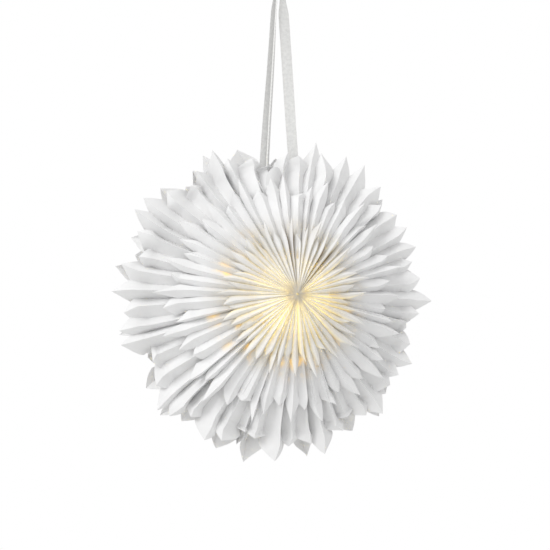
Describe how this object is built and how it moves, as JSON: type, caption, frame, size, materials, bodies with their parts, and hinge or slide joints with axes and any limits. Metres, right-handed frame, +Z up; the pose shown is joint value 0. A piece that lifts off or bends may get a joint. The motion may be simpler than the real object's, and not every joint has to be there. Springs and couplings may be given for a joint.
{
  "type": "pendant lantern",
  "caption": "Hanging pleated paper snowflake lantern with nested pointed petals, two ribbons, a lampholder with bulb inside and a ceiling hook fitting.",
  "frame": {"origin": "middle of the ceiling plate's upper face, midway between its two screw holes", "axes": "+Z up, away from the hanging lantern; the lantern's front hub faces -Y; +X to the right seen from the front"},
  "size_m": [0.4441, 0.1788, 0.7776],
  "materials": {
    "lantern_paper": "matt uncoated translucent paper",
    "white_card": "matt solid card",
    "woven_ribbon": "woven grosgrain ribbon",
    "cord_sheath": "smooth soft PVC sheath",
    "plated_steel": "zinc plated",
    "white_enamel": "satin white enamel",
    "terminal_plastic": "moulded polyamide",
    "contact_brass": "bright",
    "white_thermoplastic": "moulded satin",
    "holder_ceramic": "unglazed steatite",
    "bulb_glass": "clear blown glass",
    "filament_glow": "coated filament strip",
    "screw_shell_nickel": "nickel plated",
    "insulator_glass": "black vitrite"
  },
  "bodies": {
    "ceiling": {"ceiling_plate": "plated_steel", "ceiling_hook": "plated_steel", "hook_nut": "plated_steel", "terminal_block": "terminal_plastic", "terminal_screws": "contact_brass", "strain_relief": "white_thermoplastic", "power_cord_upper": "cord_sheath"},
    "cup": {"ceiling_cup": "white_enamel"},
    "hanger": {"hanging_loop": "woven_ribbon", "ribbon_knot": "woven_ribbon"},
    "lantern": {"front_leaf_01": "lantern_paper", "front_leaf_02": "lantern_paper", "front_leaf_03": "lantern_paper", "front_leaf_04": "lantern_paper", "front_leaf_05": "lantern_paper", "front_leaf_06": "lantern_paper", "front_leaf_07": "lantern_paper", "front_leaf_08": "lantern_paper", "front_leaf_09": "lantern_paper", "front_leaf_10": "lantern_paper", "front_leaf_11": "lantern_paper", "front_leaf_12": "lantern_paper", "front_leaf_13": "lantern_paper", "back_leaf_01": "lantern_paper", "back_leaf_02": "lantern_paper", "back_leaf_03": "lantern_paper", "back_leaf_04": "lantern_paper", "back_leaf_05": "lantern_paper", "back_leaf_06": "lantern_paper", "back_leaf_07": "lantern_paper", "back_leaf_08": "lantern_paper", "back_leaf_09": "lantern_paper", "back_leaf_10": "lantern_paper", "back_leaf_11": "lantern_paper", "back_leaf_12": "lantern_paper", "back_leaf_13": "lantern_paper", "front_seam_leaf": "lantern_paper", "back_seam_leaf": "lantern_paper", "front_hub_disc": "white_card", "back_hub_disc": "white_card", "seam_card": "white_card", "ribbon_left": "woven_ribbon", "ribbon_right": "woven_ribbon", "power_cord_lower": "cord_sheath", "holder_body": "white_thermoplastic", "holder_cap": "white_thermoplastic", "holder_cord_grip": "white_thermoplastic", "holder_ring": "white_thermoplastic", "holder_shell": "contact_brass", "holder_contact": "contact_brass", "holder_core": "holder_ceramic"},
    "bulb": {"bulb_glass": "bulb_glass", "bulb_stem": "bulb_glass", "bulb_filaments": "filament_glow", "bulb_collar": "white_thermoplastic", "bulb_screw_shell": "screw_shell_nickel", "bulb_insulator": "insulator_glass", "bulb_tip": "contact_brass"}
  },
  "joints": [
    {"name": "lantern_swing", "type": "hinge", "parent": "ceiling", "child": "hanger", "pos_m": [0, 0, -0.052], "axis": [1, 0, 0], "range_deg": [-20, 20], "deforming": ["power_cord_upper"]},
    {"name": "lantern_turn", "type": "hinge", "parent": "hanger", "child": "lantern", "pos_m": [0, 0, -0.121], "axis": [0, 0, 1], "range_deg": [-120, 120]},
    {"name": "bulb_turn", "type": "hinge", "parent": "lantern", "child": "bulb", "pos_m": [0, 0, -0.516], "axis": [0, 0, 1], "continuous": true},
    {"name": "cup_slide", "type": "slide", "parent": "ceiling", "child": "cup", "axis": [0, 0, 1], "range_m": [-0.03, 0]}
  ]
}
